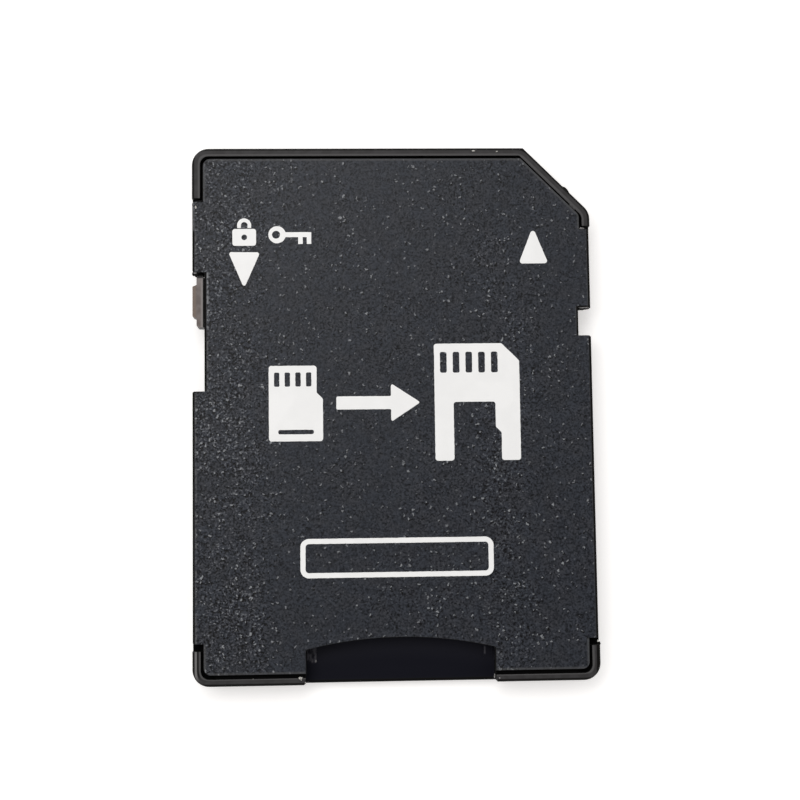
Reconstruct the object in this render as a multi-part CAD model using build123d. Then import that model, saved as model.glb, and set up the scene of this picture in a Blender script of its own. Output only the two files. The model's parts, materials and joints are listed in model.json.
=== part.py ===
from build123d import *
from math import sqrt
import os

# An adapter that lets a small memory card work in a full-size card slot: two moulded shells that
# hold a card bay, eight stamped contact leads under a moulded carrier, a card retainer leaf and
# a sliding lock tab.
# Millimetres. Seen on the label side, +X is right and +Y is the contact end; +Z leaves that side.
# The origin is the middle of the outline, on the back face.

# Outline of the whole card
card_width = 24.0
card_length = 32.0
card_thickness = 2.1
corner_radius = 1.0
cut_corner = 3.96
cut_tip_radius = 0.2
cut_step = 0.03
cut_step_place = 3.32
nib_height = 0.05
nib_ramp = 0.2
nib_length = 0.56
least_radius = 0.15
back_bevel = 0.2

# Side rails: the back face is stepped along both sides, up to near the trailing end
rail_width = 0.8
rail_step = 0.7
rail_end = 2.6

# Rim of the back shell, seen round the corners of the cover
rim_width = 0.5
trailing_rim_width = 0.43
cut_rim_width = 0.53
rim_drop = 0.1
rim_rounding = 0.18
rim_inner_rounding = 0.04
lock_side_rim = 3.05
cut_side_rim = 4.83
trailing_rim = 2.05

# Cover: a plate on a ledge inside the rim, with flanges out to the sides between the rims
cover_plate = 0.5
cover_gap = 0.16
cut_cover_gap = 0.08
cover_corner = 0.45
cover_rounding = 0.1
flange_corner = 0.12
ledge_width = 0.65
flange_height = 0.7
flange_width = 0.6
lock_side_setback = 0.04
cut_side_setback = 0.13
flange_gap = 0.22
flange_tail_gap = 0.42
joint_gap = 0.03
pin_radius = 0.4
pin_length = 0.6
pin_clearance = 0.05
boss_wall = 0.45
pin_inset = 1.6
pocket_rib = 0.5

# Thumb cut-out in the cover, over the mouth of the bay
cutout_width = 11.12
cutout_side_depth = 2.05
cutout_mid_depth = 2.71
cutout_corner = 0.15

# Notches in the sides, measured from the contact end
lock_notch_depth = 0.75
lock_notch_start = 7.55
lock_notch_length = 7.14
index_notch_depth = 0.86
index_notch_start = 9.76
index_notch_length = 1.76

# Small card and its bay
small_card_width = 11.0
small_card_length = 15.0
bay_play = 0.2
bay_offset = 0.2
bay_floor_level = 0.8
bay_wall = 1.0
bay_step = 1.3
bay_step_reach = 7.3
bay_step_radius = 0.3
mouth_flare = 0.08
mouth_flare_length = 0.4
mouth_rounding = 0.15
guide_width = 0.55
guide_height = 0.05
guide_gap = 0.08
guide_start = 1.2
guide_ramp = 0.45
guide_length = 6.5

# Contact end: windows through the back, from each pad to the leading edge
contact_level = 0.7
cut_side_pad_inset = 2.7
lock_side_pad_inset = 2.175
narrow_pad_step = 2.425
narrow_pad_pitch = 1.7
window_rib = 0.8
narrow_window_rib = 0.5
pad_start = 5.6
set_back_pad_start = 6.5
pad_lap = 0.15
pad_length = 4.4
pad_corner = 0.2

# Leads: strip stamped from sheet, one end a pad and the other a sprung finger
lead_thickness = 0.15
trace_width = 0.4
trace_bend = 0.5
finger_pitch = 1.1
finger_inset = 1.05
finger_width = 0.6
finger_length = 3.6
finger_crown = 2.6
finger_rise = 0.35
finger_tip_drop = 0.1
finger_bend = 0.45
finger_pocket_floor = 0.4
finger_pocket_side = 0.3
bridge_width = 0.5
bridge_lift = 0.35
bridge_inset = 0.5

# Carrier: a moulded comb over the leads, between the floor and the cover
carrier_front_bar = 0.9
carrier_front_gap = 0.1
carrier_stop_bar = 1.1
carrier_side = 1.0
channel_clearance = 0.05
peg_radius = 0.25
peg_clearance = 0.05
peg_height = 0.6

# Lock slider in the lock notch
slider_length = 3.05
slider_body = 0.4
slider_end_gap = 0.24
lock_end_gap = 0.15
slider_low = 0.85
slider_high = 1.95
slider_rounding = 0.12
knob_length = 1.99
knob_drop = 0.51
knob_rise = 0.24
knob_setback = 0.04
knob_ramp = 0.1
neck_width = 1.7
neck_low = 1.05
neck_high = 1.55
slide_clearance = 0.05
foot_length = 2.6
foot_thickness = 0.35
foot_low = 0.8
foot_high = 1.52
lock_pocket = 0.5
land_thickness = 0.22
detent_rise = 0.05
detent_radius = 0.25

# Card retainer: a steel leaf in a slot beside the bay
leaf_thickness = 0.12
leaf_height = 0.6
leaf_length = 5.2
leaf_start = 2.4
leaf_foot = 1.0
leaf_bow = 0.3
leaf_slot = 0.6
leaf_seat_clearance = 0.02

# Worked out from the sizes above
half_width = card_width / 2
half_length = card_length / 2
seat_level = card_thickness - cover_plate
flange_level = card_thickness - flange_height
rim_level = card_thickness - rim_drop
lead_level = contact_level + lead_thickness
wall_depth = rim_width + ledge_width
cover_inset = rim_width + cover_gap
flange_inner = half_width - flange_width
bay_left = bay_offset - (small_card_width + bay_play) / 2
bay_right = bay_offset + (small_card_width + bay_play) / 2
bay_end = -half_length + small_card_length + bay_play / 2
bay_shoulder = bay_end - bay_step_reach
lock_notch_high = half_length - lock_notch_start
lock_notch_low = lock_notch_high - lock_notch_length
slider_top = lock_notch_high - slider_end_gap
slider_middle = slider_top - slider_length / 2
lock_travel = lock_notch_length - slider_length - slider_end_gap - lock_end_gap
slider_outer = -half_width + knob_setback + knob_rise
slider_inner = slider_outer + slider_body
lock_wall_inner = -half_width + wall_depth
foot_outer = lock_wall_inner + slide_clearance
land_outer = lock_wall_inner + lock_pocket
front_bar_high = half_length - set_back_pad_start - carrier_front_gap
front_bar_low = front_bar_high - carrier_front_bar
stop_bar_high = bay_end + carrier_stop_bar

# Pads from the cut corner towards the lock side, and leads from the lock side
wide_pads = ["data2", "data3", "command", "ground_link", "supply", "clock", "ground"]
narrow_pads = ["data0", "data1"]
lead_order = ["data1", "data0", "ground", "clock", "supply", "command", "data3", "data2"]
narrow_pad_run = narrow_pad_step + narrow_pad_pitch
wide_pad_run = card_width - cut_side_pad_inset - lock_side_pad_inset - narrow_pad_run
pad_pitch = wide_pad_run / (len(wide_pads) - 1)
beyond = 1.0


def block(x, y, z):
    """A box between three pairs of coordinates."""
    size = [high - low for low, high in (x, y, z)]
    return Pos(x[0], y[0], z[0]) * Box(*size, align=(Align.MIN, Align.MIN, Align.MIN))


def slab(face, low, high):
    """A face in plan, raised from one level to another."""
    return Pos(0, 0, low) * extrude(face, high - low, dir=(0, 0, 1))


def post(x, y, radius, low, high):
    """An upright round post."""
    return Pos(x, y, low) * Cylinder(radius, high - low, align=(Align.CENTER, Align.CENTER, Align.MIN))


def outline(inset=0.0, tail_inset=None, cut_inset=None, corner=None):
    """The card's outline in plan, moved inwards. The trailing end and the cut may have their own insets."""
    side = half_width - inset
    end = half_length - inset
    tail = half_length - (inset if tail_inset is None else tail_inset)
    cut_reach = inset if cut_inset is None else cut_inset
    cut_line = half_width + half_length - cut_corner - sqrt(2) * cut_reach
    corners = [(-side, -tail), (side, -tail), (side, cut_line - side), (cut_line - end, end), (-side, end)]
    radius = corner or max(corner_radius - inset, least_radius)
    radii = [radius, radius, radius, cut_tip_radius, radius]
    return make_face(FilletPolyline(*corners, radius=radii, close=True))


def cut_faces():
    """What the cut corner lacks on its upper stretch, and the nib where that stretch ends, in plan."""
    upper_end = Pos(half_width - cut_corner, half_length) * Rot(0, 0, -45)
    nib_end = cut_step_place + nib_length
    stepped = Polyline(
        (-beyond, -cut_step),
        (cut_step_place, -cut_step),
        (nib_end, 0),
        (nib_end, beyond),
        (-beyond, beyond),
        close=True,
    )
    nib = Polyline(
        (cut_step_place, -rim_rounding),
        (cut_step_place, -cut_step),
        (cut_step_place + nib_ramp, nib_height),
        (nib_end - nib_ramp, nib_height),
        (nib_end, 0),
        (nib_end, -rim_rounding),
        close=True,
    )
    return upper_end * make_face(stepped), upper_end * make_face(nib)


def side_range(rim_reach, gap=0.0, tail_gap=0.0):
    """The stretch of one side between its contact-end rim and the trailing rim."""
    return (-half_length + trailing_rim + tail_gap, half_length - rim_reach - gap)


def pad_places():
    """Each pad's middle in X and the width of its window, by name."""
    places = {}
    for index, name in enumerate(wide_pads):
        x = half_width - cut_side_pad_inset - index * pad_pitch
        places[name] = (x, pad_pitch - window_rib)
    first_narrow = places["ground"][0] - narrow_pad_step
    for index, name in enumerate(narrow_pads):
        x = first_narrow - index * narrow_pad_pitch
        places[name] = (x, narrow_pad_pitch - narrow_window_rib)
    return places


def pad_low(name):
    """The inner end of a pad. The pad at the cut corner sits further back than the rest."""
    start = set_back_pad_start if name == "data2" else pad_start
    return half_length - start


def finger_x(name):
    """The middle of a lead's sprung finger in X."""
    card_edge = bay_offset - small_card_width / 2
    return card_edge + finger_inset + lead_order.index(name) * finger_pitch


def pin_places():
    """Cover pins, two in the pocket on each side of the bay."""
    left = (-half_width + wall_depth + bay_left - bay_wall) / 2
    right = (half_width - wall_depth + bay_right + bay_wall) / 2
    low = -half_length + wall_depth + pin_inset
    high = bay_end - bay_wall - pin_inset
    return [(x, y) for x in (left, right) for y in (low, high)]


def peg_places():
    """Pegs that hold the carrier, beside the outermost fingers."""
    reach = finger_width / 2 + channel_clearance + 2 * peg_radius
    y = bay_end + carrier_stop_bar / 2
    return [(finger_x(lead_order[0]) - reach, y), (finger_x(lead_order[-1]) + reach, y)]


def bay_plan():
    """The card bay in plan: flared at its mouth, with one shoulder where the card steps in."""
    mouth = -half_length - beyond
    flare_end = -half_length + mouth_flare_length
    corners = [
        (bay_left - mouth_flare, mouth),
        (bay_right + mouth_flare, mouth),
        (bay_right + mouth_flare, -half_length),
        (bay_right, flare_end),
        (bay_right, bay_shoulder - bay_step),
        (bay_right - bay_step, bay_shoulder),
        (bay_right - bay_step, bay_end),
        (bay_left, bay_end),
        (bay_left, flare_end),
        (bay_left - mouth_flare, -half_length),
    ]
    radii = [0, 0, 0, 0, bay_step_radius, bay_step_radius, 0, 0, 0, 0]
    return make_face(FilletPolyline(*corners, radius=radii, close=True))


def shell_blank():
    """The back shell before it is hollowed: rounded above, bevelled below, stepped at its rails."""
    blank = slab(outline(), 0, rim_level)
    blank = fillet(blank.edges().group_by(Axis.Z)[-1], rim_rounding)
    blank = chamfer(blank.edges().group_by(Axis.Z)[0], back_bevel)
    stepped, nib = cut_faces()
    blank -= slab(stepped, rail_step, rim_level + beyond)
    blank += slab(nib, rail_step, rim_level - rim_rounding / 2)
    rail = (-half_length + rail_end, half_length + beyond)
    for side in (-1, 1):
        edge = sorted((side * (half_width - rail_width), side * (half_width + beyond)))
        blank -= block(edge, rail, (-beyond, rail_step))
    return blank


def flange_spaces():
    """What the cover's side flanges fill, cut out of the shell's rim."""
    outside = half_width + beyond
    height = (flange_level, card_thickness + beyond)
    lock_side = block((-outside, -flange_inner), side_range(lock_side_rim), height)
    cut_side = block((flange_inner, outside), side_range(cut_side_rim), height)
    return [lock_side, cut_side]


def side_notches():
    """The lock notch and the index notch, right through the card."""
    outside = half_width + beyond
    height = (-beyond, card_thickness + beyond)
    lock_across = (-outside, lock_notch_depth - half_width)
    index_across = (half_width - index_notch_depth, outside)
    index_high = half_length - index_notch_start
    lock_notch = block(lock_across, (lock_notch_low, lock_notch_high), height)
    index_notch = block(index_across, (index_high - index_notch_length, index_high), height)
    return [lock_notch, index_notch]


def contact_chamber():
    """The space past the bay, which holds the leads, their carrier and the slider's foot."""
    room = slab(outline(wall_depth), contact_level, rim_level)
    return room & block((-half_width, half_width), (bay_end, half_length), (0, card_thickness))


def card_bay():
    """The space that the small card slides into, and the deeper pocket under the fingers."""
    bay = slab(bay_plan(), bay_floor_level, card_thickness + beyond)
    side = finger_width / 2 + finger_pocket_side
    across = (finger_x(lead_order[0]) - side, finger_x(lead_order[-1]) + side)
    along = (bay_end - finger_length - finger_pocket_side, bay_end)
    return [bay, block(across, along, (finger_pocket_floor, seat_level))]


def side_pockets():
    """Hollows on both sides of the bay, each parted by a rib, so that the moulding has even walls."""
    low = -half_length + wall_depth
    high = bay_end - bay_wall
    middle = (low + high) / 2
    height = (bay_floor_level, seat_level)
    pockets = []
    left = (-half_width + wall_depth, bay_left - bay_wall)
    right = (bay_right + bay_wall, half_width - wall_depth)
    for across in (left, right):
        pockets.append(block(across, (low, middle - pocket_rib / 2), height))
        pockets.append(block(across, (middle + pocket_rib / 2, high), height))
    return pockets


def contact_windows():
    """One window for each pad, open to the leading edge, with a rib left between neighbours."""
    windows = []
    for name, (x, width) in pad_places().items():
        across = (x - width / 2, x + width / 2)
        along = (pad_low(name) + pad_lap, half_length + beyond)
        windows.append(block(across, along, (-beyond, contact_level)))
    return windows


def lock_slot():
    """The slot in the side wall that the slider's neck runs in. The cover closes its top."""
    high = slider_middle + neck_width / 2 + slide_clearance
    low = slider_middle - neck_width / 2 - lock_travel - slide_clearance
    return block((-half_width, lock_wall_inner), (low, high), (neck_low - slide_clearance, seat_level))


def lock_land():
    """The rib behind the slider's foot, dished where the foot clicks at each end of its travel."""
    reach = foot_length / 2 + slide_clearance
    along = (slider_middle - lock_travel - reach, slider_middle + reach)
    land = block((land_outer, land_outer + land_thickness), along, (contact_level, seat_level))
    for y in (slider_middle, slider_middle - lock_travel):
        land -= post(land_outer - detent_radius + detent_rise, y, detent_radius, contact_level, seat_level)
    return land


def guide_rails():
    """Two low rails on the bay floor, ramped at the mouth, that centre the small card."""
    start = -half_length + guide_start
    top = bay_floor_level + guide_height
    profile = Plane.YZ * make_face(
        Polyline(
            (start, bay_floor_level),
            (start + guide_ramp, top),
            (start + guide_length, top),
            (start + guide_length, bay_floor_level),
            close=True,
        )
    )
    rail = extrude(profile, guide_width, dir=(1, 0, 0))
    return [Pos(bay_left + guide_gap, 0, 0) * rail, Pos(bay_right - guide_gap - guide_width, 0, 0) * rail]


def leaf_path():
    """The retainer's line in plan: a straight foot in its slot, then a bow towards the card."""
    foot_x = bay_right + leaf_slot - leaf_thickness / 2
    start = -half_length + leaf_start
    middle = start + (leaf_foot + leaf_length) / 2
    foot = Line((foot_x, start), (foot_x, start + leaf_foot))
    bow = ThreePointArc(
        (foot_x, start + leaf_foot),
        (foot_x - leaf_slot - leaf_bow + leaf_thickness, middle),
        (foot_x, start + leaf_length),
    )
    return foot, bow


def leaf_slot_space():
    """The slot beside the bay that the retainer leaf sits in."""
    start = -half_length + leaf_start
    across = (bay_right - leaf_slot / 2, bay_right + leaf_slot)
    along = (start - leaf_seat_clearance, start + leaf_length + leaf_seat_clearance)
    return block(across, along, (bay_floor_level, seat_level))


def mouth_edge(shell):
    """The edge of the bay floor at the mouth, which is rounded."""
    trailing = shell.edges().filter_by(Axis.X).group_by(Axis.Y)[0]
    return trailing.sort_by(lambda edge: abs(edge.center().Z - bay_floor_level))[0]


def back_shell():
    """The moulded tray: rim, rails, contact end, card bay, pockets, bosses and lock slot."""
    shell = shell_blank()
    seat = outline(rim_width, trailing_rim_width, cut_rim_width)
    shell -= slab(seat, seat_level, card_thickness)
    shell = fillet(shell.faces().sort_by(Axis.Z)[-1].inner_wires()[0].edges(), rim_inner_rounding)
    shell -= flange_spaces() + side_notches()
    shell -= [contact_chamber()] + card_bay() + side_pockets()
    shell -= contact_windows() + [lock_slot(), leaf_slot_space()]
    shell += [lock_land()] + guide_rails()
    hole_radius = pin_radius + pin_clearance
    hole_low = seat_level - pin_length - pin_clearance
    for x, y in pin_places():
        shell += post(x, y, hole_radius + boss_wall, bay_floor_level, seat_level)
        shell -= post(x, y, hole_radius, hole_low, seat_level)
    for x, y in peg_places():
        shell += post(x, y, peg_radius, contact_level, contact_level + peg_height)
    return fillet(mouth_edge(shell), mouth_rounding)


def thumb_cutout():
    """The opening in the cover over the mouth: straight sides and one shallow arc."""
    left = bay_offset - cutout_width / 2
    right = bay_offset + cutout_width / 2
    corner_y = -half_length + cutout_side_depth
    outside = -half_length - beyond
    sides = Polyline((left, corner_y), (left, outside), (right, outside), (right, corner_y))
    arc = ThreePointArc((right, corner_y), (bay_offset, -half_length + cutout_mid_depth), (left, corner_y))
    opening = slab(make_face(sides + arc), seat_level - beyond, card_thickness + beyond)
    return fillet(opening.edges().filter_by(Axis.Z).group_by(Axis.Y)[-1], cutout_corner)


def front_cover():
    """The label-side plate with its side flanges, notches, thumb cut-out and pins."""
    plan = outline(cover_inset, cut_inset=cut_rim_width + cut_cover_gap, corner=cover_corner)
    plate = slab(plan, seat_level, card_thickness)
    inner = flange_inner + joint_gap
    lock_side = side_range(lock_side_rim, flange_gap, flange_tail_gap)
    cut_side = side_range(cut_side_rim, flange_gap, flange_tail_gap)
    lock_edge = lock_side_setback - half_width
    cut_edge = half_width - cut_side_setback
    plate += block((lock_edge, -inner), lock_side, (flange_level, card_thickness))
    plate += block((inner, cut_edge), cut_side, (flange_level, card_thickness))
    plate += block((lock_edge, 0), lock_side, (seat_level, card_thickness))
    plate += block((0, cut_edge), cut_side, (seat_level, card_thickness))
    plate -= side_notches() + [thumb_cutout()]
    uprights = plate.edges().filter_by(Axis.Z).group_by(Axis.X)
    plate = fillet(uprights[0] + uprights[-1], flange_corner)
    plate = fillet(plate.edges().group_by(Axis.Z)[-1], cover_rounding)
    for x, y in pin_places():
        plate += post(x, y, pin_radius, seat_level - pin_length, seat_level)
    return plate


def lead_pad(name):
    """A lead's pad, clipped to the chamber behind the windows."""
    x, width = pad_places()[name]
    low = pad_low(name)
    plan = Pos(x, low + pad_length / 2) * RectangleRounded(width + 2 * pad_lap, pad_length, pad_corner)
    return slab(plan, contact_level, lead_level) & slab(outline(wall_depth), contact_level, lead_level)


def lead_finger(name):
    """The sprung end of a lead: it rises to a crown under the card, then dips at its tip."""
    level = contact_level + lead_thickness / 2
    path = FilletPolyline(
        (bay_end + finger_bend, level),
        (bay_end - finger_bend, level),
        (bay_end - finger_crown, level + finger_rise),
        (bay_end - finger_length, level - finger_tip_drop),
        radius=finger_bend,
    )
    profile = Plane.YZ * trace(path, lead_thickness)
    strip = extrude(profile, finger_width, dir=(1, 0, 0))
    return Pos(finger_x(name) - finger_width / 2, 0, 0) * strip


def contact_lead(name):
    """One stamped lead, from its pad along its trace to its finger."""
    pad_x = pad_places()[name][0]
    x = finger_x(name)
    route = FilletPolyline(
        (pad_x, pad_low(name) + pad_corner),
        (pad_x, front_bar_low - trace_bend / 2),
        (x, stop_bar_high + trace_bend / 2),
        (x, bay_end),
        radius=trace_bend,
    )
    strip = slab(trace(route, trace_width), contact_level, lead_level)
    return lead_pad(name) + strip + lead_finger(name)


def ground_lead():
    """The ground lead, forked: its bridge rises over two neighbours to a second pad."""
    near_x = pad_places()["ground"][0]
    far_x = pad_places()["ground_link"][0]
    level = contact_level + lead_thickness / 2
    path = FilletPolyline(
        (near_x - trace_width / 2, level),
        (near_x + bridge_inset / 2, level),
        (near_x + bridge_inset / 2 + bridge_lift, level + bridge_lift),
        (far_x - bridge_inset / 2 - bridge_lift, level + bridge_lift),
        (far_x - bridge_inset / 2, level),
        (far_x + trace_width / 2, level),
        radius=lead_thickness,
    )
    strip = extrude(Plane.XZ * trace(path, lead_thickness), bridge_width, dir=(0, 1, 0))
    bridge_y = (front_bar_high + pad_low("ground")) / 2 - bridge_width / 2
    neck_x = (far_x - trace_width / 2, far_x + trace_width / 2)
    neck = block(neck_x, (bridge_y, pad_low("ground") + pad_corner), (contact_level, lead_level))
    return contact_lead("ground") + Pos(0, bridge_y, 0) * strip + neck + lead_pad("ground_link")


def carrier_frame():
    """The carrier in plan: a front bar, a stop bar and two slanted sides."""
    peg_x = [place[0] for place in peg_places()]
    reach = peg_radius + peg_clearance + carrier_side / 2
    stop = (peg_x[0] - reach, peg_x[1] + reach)
    half_trace = trace_width / 2 + channel_clearance
    places = pad_places()
    front = (places["data1"][0] - half_trace, places["data2"][0] + half_trace)
    outer = Polyline(
        (stop[0], bay_end),
        (stop[1], bay_end),
        (stop[1], stop_bar_high),
        (front[1], front_bar_low),
        (front[1], front_bar_high),
        (front[0], front_bar_high),
        (front[0], front_bar_low),
        (stop[0], stop_bar_high),
        close=True,
    )
    inner = Polyline(
        (stop[0] + carrier_side, stop_bar_high),
        (stop[1] - carrier_side, stop_bar_high),
        (front[1] - carrier_side, front_bar_low),
        (front[0] + carrier_side, front_bar_low),
        close=True,
    )
    bars = [
        block(stop, (bay_end, stop_bar_high), (contact_level, lead_level)),
        block(front, (front_bar_low, front_bar_high), (contact_level, lead_level)),
    ]
    return make_face(outer) - make_face(inner), bars


def lead_channels():
    """Clearance round each lead where it passes under the carrier's two bars."""
    channels = []
    for name in lead_order:
        places = [
            (pad_places()[name][0], trace_width, (front_bar_low, half_length)),
            (finger_x(name), finger_width, (bay_end - beyond, stop_bar_high)),
        ]
        for x, width, along in places:
            half = width / 2 + channel_clearance
            channels.append(block((x - half, x + half), along, (contact_level, lead_level)))
    return channels


def contact_carrier():
    """The moulded comb that holds the leads down and stops the small card."""
    frame, bars = carrier_frame()
    carrier = slab(frame, lead_level, seat_level)
    for bar in bars:
        carrier += bar - lead_channels()
    hole_high = contact_level + peg_height + peg_clearance
    for x, y in peg_places():
        carrier -= post(x, y, peg_radius + peg_clearance, contact_level, hole_high)
    return carrier


def card_retainer():
    """The steel leaf: a straight foot and a bow that reaches into the bay."""
    foot, bow = leaf_path()
    middle = (bay_floor_level + seat_level) / 2
    low = middle - leaf_height / 2
    return slab(trace([foot, bow], leaf_thickness), low, low + leaf_height)


def lock_slider():
    """The lock tab: body and ramped knob outside, neck through the wall, sprung foot inside."""
    low = slider_top - slider_length
    body = block((slider_outer, slider_inner), (low, slider_top), (slider_low, slider_high))
    body = fillet(body.edges().filter_by(Axis.Z).group_by(Axis.X)[0], slider_rounding)
    knob_high = slider_top - knob_drop
    knob_low = knob_high - knob_length
    knob_plan = Polyline(
        (slider_outer, knob_low),
        (slider_outer, knob_high),
        (slider_outer - knob_rise, knob_high - knob_ramp),
        (slider_outer - knob_rise, knob_low + knob_ramp),
        close=True,
    )
    knob = slab(make_face(knob_plan), slider_low, slider_high)
    neck_y = (slider_middle - neck_width / 2, slider_middle + neck_width / 2)
    neck = block((slider_inner, foot_outer), neck_y, (neck_low, neck_high))
    foot_y = (slider_middle - foot_length / 2, slider_middle + foot_length / 2)
    foot = block((foot_outer, foot_outer + foot_thickness), foot_y, (foot_low, foot_high))
    bump_x = land_outer - slide_clearance + detent_rise - detent_radius
    bump = post(bump_x, slider_middle, detent_radius, foot_low, foot_high)
    bump &= block((foot_outer, half_width), foot_y, (foot_low, foot_high))
    return body + knob + neck + foot + bump


def write_parts():
    """Write each piece to a file of its own."""
    nodes = {
        "back_shell": back_shell(),
        "front_cover": front_cover(),
        "contact_carrier": contact_carrier(),
        "card_retainer": card_retainer(),
        "lock_slider": lock_slider(),
    }
    for name in lead_order:
        nodes["contact_" + name] = ground_lead() if name == "ground" else contact_lead(name)
    os.makedirs("parts", exist_ok=True)
    for name, solid in nodes.items():
        export_step(solid, f"parts/{name}.step")


write_parts()
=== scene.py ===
import json
import math

import bmesh
import bpy
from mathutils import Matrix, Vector, noise


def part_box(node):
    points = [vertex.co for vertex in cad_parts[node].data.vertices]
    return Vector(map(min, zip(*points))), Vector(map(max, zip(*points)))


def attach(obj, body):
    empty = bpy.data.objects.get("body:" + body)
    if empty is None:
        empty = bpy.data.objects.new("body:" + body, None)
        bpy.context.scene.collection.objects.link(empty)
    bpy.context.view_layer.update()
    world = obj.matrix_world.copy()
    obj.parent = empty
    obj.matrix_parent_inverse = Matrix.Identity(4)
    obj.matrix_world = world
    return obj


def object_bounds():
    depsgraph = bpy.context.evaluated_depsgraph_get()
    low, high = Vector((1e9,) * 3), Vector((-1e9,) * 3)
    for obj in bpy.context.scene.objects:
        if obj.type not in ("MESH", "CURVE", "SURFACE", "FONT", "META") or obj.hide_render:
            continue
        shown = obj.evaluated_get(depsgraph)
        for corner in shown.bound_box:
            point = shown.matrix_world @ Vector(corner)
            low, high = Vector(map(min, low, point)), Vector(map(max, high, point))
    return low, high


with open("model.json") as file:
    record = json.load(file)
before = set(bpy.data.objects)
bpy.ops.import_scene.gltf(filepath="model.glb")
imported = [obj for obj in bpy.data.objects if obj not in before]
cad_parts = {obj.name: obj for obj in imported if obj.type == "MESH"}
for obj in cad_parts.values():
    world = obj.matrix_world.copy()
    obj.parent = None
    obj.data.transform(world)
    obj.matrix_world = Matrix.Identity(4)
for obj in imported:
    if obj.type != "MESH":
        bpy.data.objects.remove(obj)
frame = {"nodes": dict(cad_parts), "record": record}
cad_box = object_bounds()

# Units: the frame is in metres, and sizes below are written in millimetres
mm = 0.001

# Levels and edges of the part
cover_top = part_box("front_cover")[1].z / mm
half_width = cad_box[1].x / mm
half_length = cad_box[1].y / mm
bay_ceiling = 1.6
rim_top = 2.0
rail_top = 1.4
cut_corner = 3.96
rim_width = 0.5
trailing_seam = -13.53
notch_start = 1.31
notch_end = 8.45
lock_flank_end = 12.73
index_notch_start = 4.48
index_notch_end = 6.24
index_flank_end = 10.95
cover_side = 11.34
lock_flank = 11.96
lock_notch = 11.25
index_flank = 11.87
index_notch = 11.14
cover_end = 15.34
tab_outer = -11.96
tab_inner = -11.32
tab_dip = 1.85
tab_near = 5.1
tab_far = 8.21
cut_cover_inset = 0.61
bay_arch = -13.3
bay_bow = 20.0
core_side = 1.2

# Grain of the cover: the size and depth of its relief, and its specks of painted glint, each with a painted
# shadow of a pit beside it
grain_size = 0.12
grain_depth = 0.02
glint_spacing = 0.26
glint_reach = 0.33
glint_share = 0.32
pit_shade_reach = 0.38
pit_shade_share = 0.34
pit_shade_shift = (-0.06, 0.08, 0.0)

# Grain of the cover: where it grows stronger across the card
strong_start = -4.5
strong_full = -8.0
lane_left = 6.8
lane_right = 9.2
lane_fade = 0.8
lane_full = 9.5
lane_end = 11.5

# Painted highlight and painted shade on the cover's edges, as limits in from the edge
edge_highlight_start = 0.2
edge_highlight_full = 0.1
lit_line = (0.15, 0.25)
turned_shade_start = 0.17
turned_shade_full = 0.10

# Painted highlights and painted shade on the rim, as limits in from the outline
mark_fade = 0.03
rim_lip_highlight = (rim_width - 0.13, rim_width + 0.05)
rim_ridge_highlight = (0.16, 0.27)
rim_groove_shade = (0.28, 0.39)
rim_turn_shade_start = 0.2
rim_turn_shade_full = 0.11

# Marks along the sides, as limits along Y: the lip at the notch's far end and the gap past the flank
notch_lip_reach = (notch_end - 0.02, notch_end + 0.12)
# The gap past the flank is painted near black as shade, and the notch's lip is kept out of the painted wall
# shade
flank_gap = (trailing_seam - 0.45, trailing_seam + 0.05)

# Painted light in the bay, as limits along X and Y: streaks on the guide, and a lit streak on the right
guide_across = (-5.36, -4.78)
guide_along = (-14.8, -13.9)
lit_streak_across = (5.20, 5.29)
lit_streak_along = (-14.45, -14.0)

# The cover's side edges: where each stretch starts along Y, and its place along X
lock_edges = [
    (-half_length, -cover_side),
    (trailing_seam, -lock_flank),
    (notch_start, -lock_notch),
    (notch_end, -lock_flank),
    (lock_flank_end, -cover_side),
]
index_edges = [
    (-half_length, cover_side),
    (trailing_seam, index_flank),
    (index_notch_start, index_notch),
    (index_notch_end, index_flank),
    (index_flank_end, cover_side),
]

# Camera, as fitted to the photograph
camera_place = (-3.259, -6.292, 84.709)
camera_turn = (4.8495, -2.4242, -0.7787)
camera_lens = 62.745
sensor_width = 36.0
nearest_seen = 1.0
farthest_seen = 20000.0

# Studio
floor_size = 4000.0
floor_tone = (0.8, 0.8, 0.8)
floor_glow_tone = (1.0, 0.975, 0.955)
floor_glow = 0.46
sky_tone = (1.0, 0.99, 0.985)
sky_strength = 0.68
dark_strength = 0.0
dark_rise = 78.0
dark_turn = -60.0
dark_inner = 4.0
dark_outer = 28.0
key_place = (-50.0, 58.0, 155.0)
key_width = 150.0
key_depth = 70.0
key_power = 0.13
key_tone = (1.0, 0.985, 0.97)

# Burrs: place, size and shape of each speck, pale if torn, grey if scraped and dark if it only ran out
# the pale and the grey are partly a painted glint on each burr
burr_waver = 0.5
burr_wave = 1.7
torn_glint_tones = ((0.28, 0.27, 0.25), (0.75, 0.73, 0.69))
scraped_glint_tones = ((0.13, 0.125, 0.125), (0.30, 0.29, 0.29))
torn_burrs = [
    ((-5.70, -15.62, 1.93), 0.125, (1.0, 0.95, 0.7)),
    ((-5.45, -15.88, 1.80), 0.065, (1.2, 1.0, 0.8)),
    ((-8.47, -15.60, 1.95), 0.050, (1.3, 0.8, 0.7)),
    ((-11.75, 12.37, 2.09), 0.065, (0.7, 1.6, 0.4)),
    ((11.86, -13.72, 1.94), 0.055, (0.9, 1.2, 0.6)),
    ((4.98, 15.80, 1.99), 0.060, (1.8, 0.7, 0.5)),
    ((6.42, 15.76, 2.00), 0.040, (1.4, 0.8, 0.5)),
]
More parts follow.
